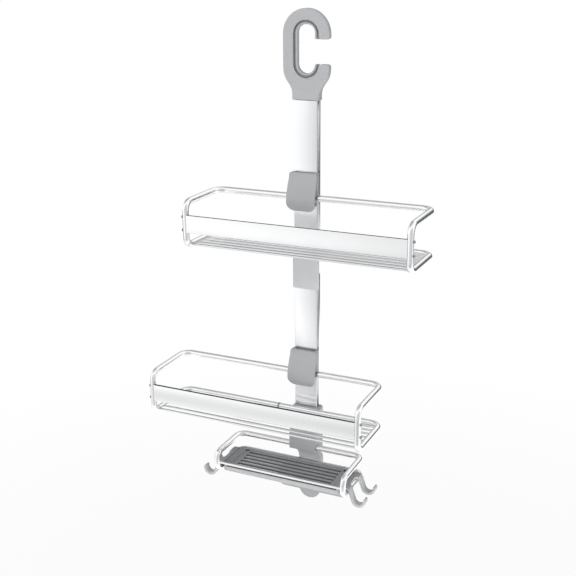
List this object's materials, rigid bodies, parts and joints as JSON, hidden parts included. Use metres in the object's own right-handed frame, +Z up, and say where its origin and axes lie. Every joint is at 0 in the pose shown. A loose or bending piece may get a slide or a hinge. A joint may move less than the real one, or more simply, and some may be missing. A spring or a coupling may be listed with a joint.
{
  "type": "shower caddy",
  "caption": "Hanging shower caddy: hook over the shower arm, aluminium spine, wire shelves that clamp at any height and slide sideways, soap tray with razor hooks.",
  "frame": {"origin": "middle of the hook's seat, under the crown of the soft liner in the top of its slot, where the shower arm bears", "axes": "+X right seen from the front, +Y to the wall, +Z up"},
  "size_m": [0.3739, 0.1372, 0.6817],
  "materials": {
    "grey_plastic": "fine satin moulding, cool light grey",
    "lever_plastic": "satin moulding, mid grey",
    "tray_plastic": "satin moulding, grey",
    "rail_aluminium": "satin anodised",
    "strip_aluminium": "satin anodised, brushed along its length",
    "tube_steel": "polished stainless",
    "screw_steel": "plain stainless",
    "pad_rubber": "matt",
    "liner_rubber": "matt, soft, mid grey",
    "cup_rubber": "soft and milky"
  },
  "bodies": {
    "spine": {"hook": "grey_plastic", "hook_liner": "liner_rubber", "upper_rail": "rail_aluminium", "lower_rail": "rail_aluminium", "joiner_clip": "grey_plastic", "splice_bar": "rail_aluminium", "foot": "grey_plastic", "foot_plug": "grey_plastic", "hook_screw": "screw_steel", "upper_splice_screw": "screw_steel", "lower_splice_screw": "screw_steel", "foot_screw": "screw_steel", "suction_cup_left": "cup_rubber", "suction_cup_right": "cup_rubber"},
    "upper_clamp": {"upper_carrier": "grey_plastic", "upper_lever_pin": "screw_steel", "upper_rail_pad": "pad_rubber", "upper_tube_pad": "pad_rubber"},
    "upper_latch": {"upper_lever": "lever_plastic"},
    "upper_shelf": {"upper_shelf_frame": "tube_steel", "upper_shelf_strip": "strip_aluminium", "upper_strip_screw_right_top": "screw_steel", "upper_strip_screw_right_bottom": "screw_steel", "upper_strip_screw_left_top": "screw_steel", "upper_strip_screw_left_bottom": "screw_steel"},
    "lower_clamp": {"lower_carrier": "grey_plastic", "lower_lever_pin": "screw_steel", "lower_rail_pad": "pad_rubber", "lower_tube_pad": "pad_rubber"},
    "lower_latch": {"lower_lever": "lever_plastic"},
    "lower_shelf": {"lower_shelf_frame": "tube_steel", "lower_shelf_strip": "strip_aluminium", "lower_strip_screw_right_top": "screw_steel", "lower_strip_screw_right_bottom": "screw_steel", "lower_strip_screw_left_top": "screw_steel", "lower_strip_screw_left_bottom": "screw_steel"},
    "soap_dish": {"soap_frame": "tube_steel", "soap_tray": "tray_plastic"}
  },
  "joints": [
    {"name": "upper_height", "type": "slide", "parent": "spine", "child": "upper_clamp", "axis": [0, 0, 1], "range_m": [-0.07, 0.086]},
    {"name": "upper_sideways", "type": "slide", "parent": "upper_clamp", "child": "upper_shelf", "axis": [1, 0, 0], "range_m": [-0.1344, 0.0856]},
    {"name": "upper_lock", "type": "hinge", "parent": "upper_clamp", "child": "upper_latch", "pos_m": [0, -0.0086, -0.1869], "axis": [-1, 0, 0], "range_deg": [0, 70]},
    {"name": "lower_height", "type": "slide", "parent": "spine", "child": "lower_clamp", "axis": [0, 0, 1], "range_m": [-0.018, 0.075]},
    {"name": "lower_sideways", "type": "slide", "parent": "lower_clamp", "child": "lower_shelf", "axis": [1, 0, 0], "range_m": [-0.0725, 0.1475]},
    {"name": "lower_lock", "type": "hinge", "parent": "lower_clamp", "child": "lower_latch", "pos_m": [0, -0.0086, -0.4309], "axis": [-1, 0, 0], "range_deg": [0, 70]},
    {"name": "soap_sideways", "type": "slide", "parent": "spine", "child": "soap_dish", "axis": [1, 0, 0], "range_m": [-0.0385, 0.0515]}
  ]
}
